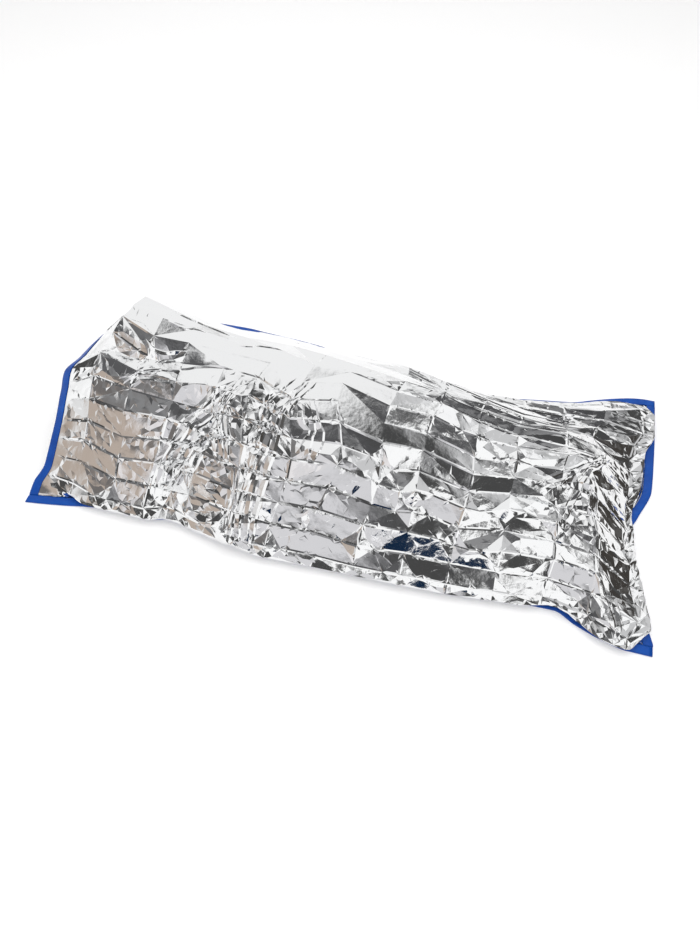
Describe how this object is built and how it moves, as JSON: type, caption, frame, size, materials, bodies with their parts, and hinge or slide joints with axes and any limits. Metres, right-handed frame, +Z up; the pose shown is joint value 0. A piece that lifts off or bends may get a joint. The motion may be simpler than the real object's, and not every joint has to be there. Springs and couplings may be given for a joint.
{
  "type": "emergency sleeping bag",
  "caption": "Lofted emergency sleeping bag of creased silver film, open at the mouth and closed at the sides and foot, with folded blue tape binding its seams and lips.",
  "frame": {"origin": "on the flat underside of the bottom panel, at the middle of the nominal outline", "axes": "+X from the mouth to the foot, +Y from the near side to the far side, +Z up"},
  "size_m": [2.0059, 1.0386, 0.3651],
  "materials": {
    "film": "bright, creased metallised film",
    "tape": "glossy blue binding tape"
  },
  "bodies": {
    "root": {"top_panel": "film", "bottom_panel": "film", "near_side_tape": "tape", "far_side_tape": "tape", "foot_tape": "tape", "mouth_tape_top": "tape", "mouth_tape_bottom": "tape"}
  },
  "joints": []
}
